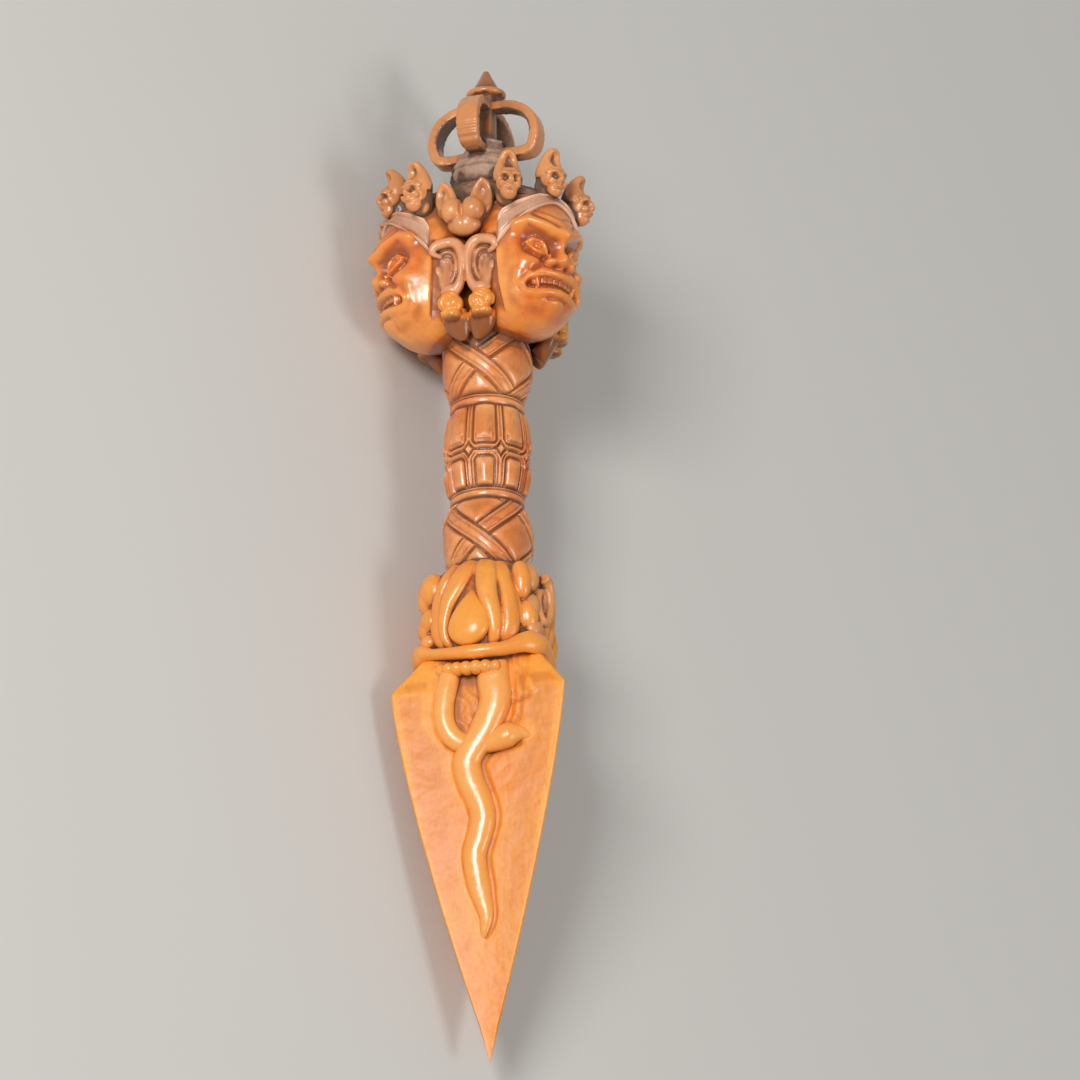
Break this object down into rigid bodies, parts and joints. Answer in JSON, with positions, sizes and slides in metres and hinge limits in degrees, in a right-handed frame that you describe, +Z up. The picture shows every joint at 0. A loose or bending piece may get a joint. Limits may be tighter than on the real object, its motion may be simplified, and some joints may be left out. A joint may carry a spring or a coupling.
{
  "type": "ritual dagger",
  "caption": "Carved boxwood ritual dagger: three-edged blade with serpents in relief, knotted grip, wrathful heads under a skull crown, and a half-vajra finial.",
  "frame": {"origin": "on the surface that the dagger lies on, under the middle of its bounding box", "axes": "+Y along the dagger from the blade's tip to the finial's point, +Z up with head_1 uppermost, +X to the right when it is seen from above with the tip towards the viewer"},
  "size_m": [0.0548, 0.2594, 0.0527],
  "materials": {
    "blade_wood": "waxed boxwood, scraped and polished along the grain",
    "serpent_wood": "waxed boxwood, polished high relief",
    "carved_wood": "waxed boxwood with dark patina in the cuts",
    "grip_wood": "boxwood polished by handling",
    "face_wood": "waxed boxwood, polished",
    "recess_wood": "boxwood left from the gouge, with dry brown patina",
    "crown_wood": "boxwood with worn wax and brown patina in the cuts"
  },
  "bodies": {
    "root": {"blade": "blade_wood", "long_serpent_1": "serpent_wood", "long_serpent_2": "serpent_wood", "long_serpent_3": "serpent_wood", "short_serpent_1": "serpent_wood", "short_serpent_2": "serpent_wood", "short_serpent_3": "serpent_wood", "collar": "carved_wood", "lip_roll": "carved_wood", "bead_band_1": "carved_wood", "bead_band_2": "carved_wood", "bead_band_3": "carved_wood", "bud_1": "serpent_wood", "bud_2": "serpent_wood", "bud_3": "serpent_wood", "leaves_1": "carved_wood", "leaves_2": "carved_wood", "leaves_3": "carved_wood", "scroll_1": "carved_wood", "scroll_2": "carved_wood", "scroll_3": "carved_wood", "lower_knot": "grip_wood", "lower_straps": "grip_wood", "lower_ring": "grip_wood", "lotus_drum": "grip_wood", "drum_petals": "grip_wood", "upper_ring": "grip_wood", "upper_knot": "grip_wood", "upper_straps": "grip_wood", "head_1": "face_wood", "head_2": "face_wood", "head_3": "face_wood", "headband_1": "carved_wood", "headband_2": "carved_wood", "headband_3": "carved_wood", "ears_1": "carved_wood", "ears_2": "carved_wood", "ears_3": "carved_wood", "earrings_1": "carved_wood", "earrings_2": "carved_wood", "earrings_3": "carved_wood", "crown": "recess_wood", "skulls_1": "crown_wood", "skulls_2": "crown_wood", "skulls_3": "crown_wood", "heart_1": "crown_wood", "heart_2": "crown_wood", "heart_3": "crown_wood", "finial_hub": "recess_wood", "centre_rod": "crown_wood", "prong_1": "crown_wood", "prong_2": "crown_wood", "prong_3": "crown_wood", "prong_4": "crown_wood", "finial_cap": "crown_wood"}
  },
  "joints": []
}
